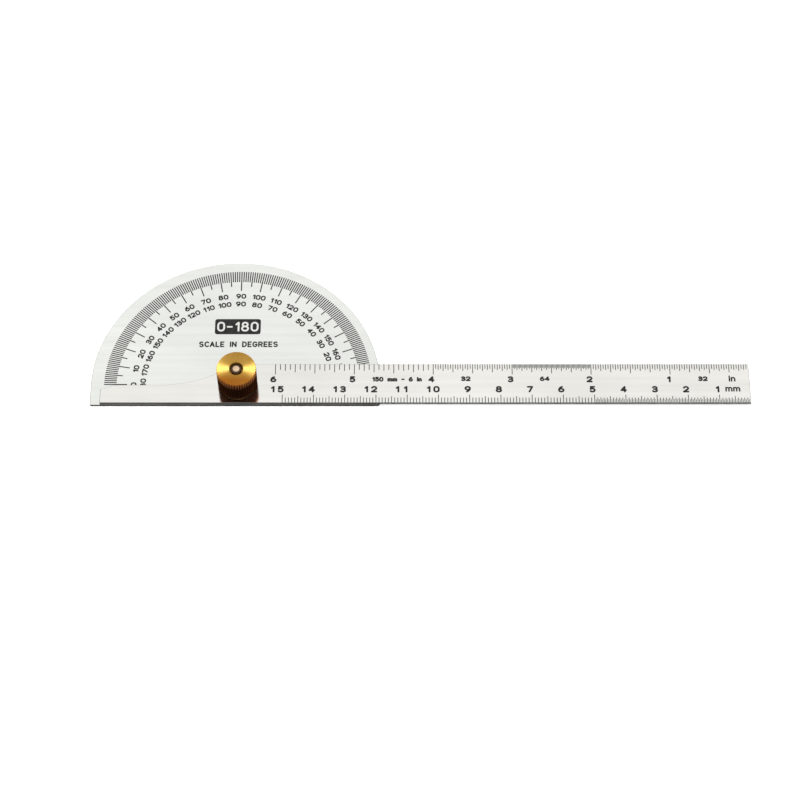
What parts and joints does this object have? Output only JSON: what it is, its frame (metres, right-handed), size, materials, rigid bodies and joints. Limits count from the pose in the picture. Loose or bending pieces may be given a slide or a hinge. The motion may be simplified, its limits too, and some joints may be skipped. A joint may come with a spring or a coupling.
{
  "type": "rule-arm protractor",
  "caption": "Half-round steel protractor head with a graduated rule arm that turns about a stud and is clamped by a knurled brass thumb nut.",
  "frame": {"origin": "on the pivot axis, in the plane of the head's back face, which is also the flush face of the stud", "axes": "+X along the arm to its free end, +Y to the 90 degree mark of the head, +Z from the back to the graduated faces"},
  "size_m": [0.2116, 0.054, 0.0109],
  "materials": {
    "head_steel": "bright satin, ground",
    "arm_steel": "bright satin, ground",
    "stud_steel": "turned, end peened",
    "washer_brass": "tarnished",
    "nut_brass": "turned face, knurled rim",
    "etched_black": "matt fill in the etched marks"
  },
  "bodies": {
    "head": {"head_plate": "head_steel", "pivot_stud": "stud_steel"},
    "arm": {"rule_arm": "arm_steel"},
    "washer": {"clamp_washer": "washer_brass"},
    "nut": {"thumb_nut": "nut_brass"}
  },
  "joints": [
    {"name": "arm_swing", "type": "hinge", "parent": "head", "child": "arm", "pos_m": [0, 0, 0.0012], "axis": [0, 0, -1], "continuous": true},
    {"name": "nut_lift", "type": "slide", "parent": "head", "child": "washer", "axis": [0, 0, 1], "range_m": [0, 0.0016]},
    {"name": "nut_spin", "type": "hinge", "parent": "washer", "child": "nut", "pos_m": [0, 0, 0.006], "axis": [0, 0, 1], "range_deg": [0, 1080]}
  ],
  "couplings": [
    {"joint": "nut_lift", "follows": "nut_spin", "m_per_rad": 0.000079577}
  ]
}
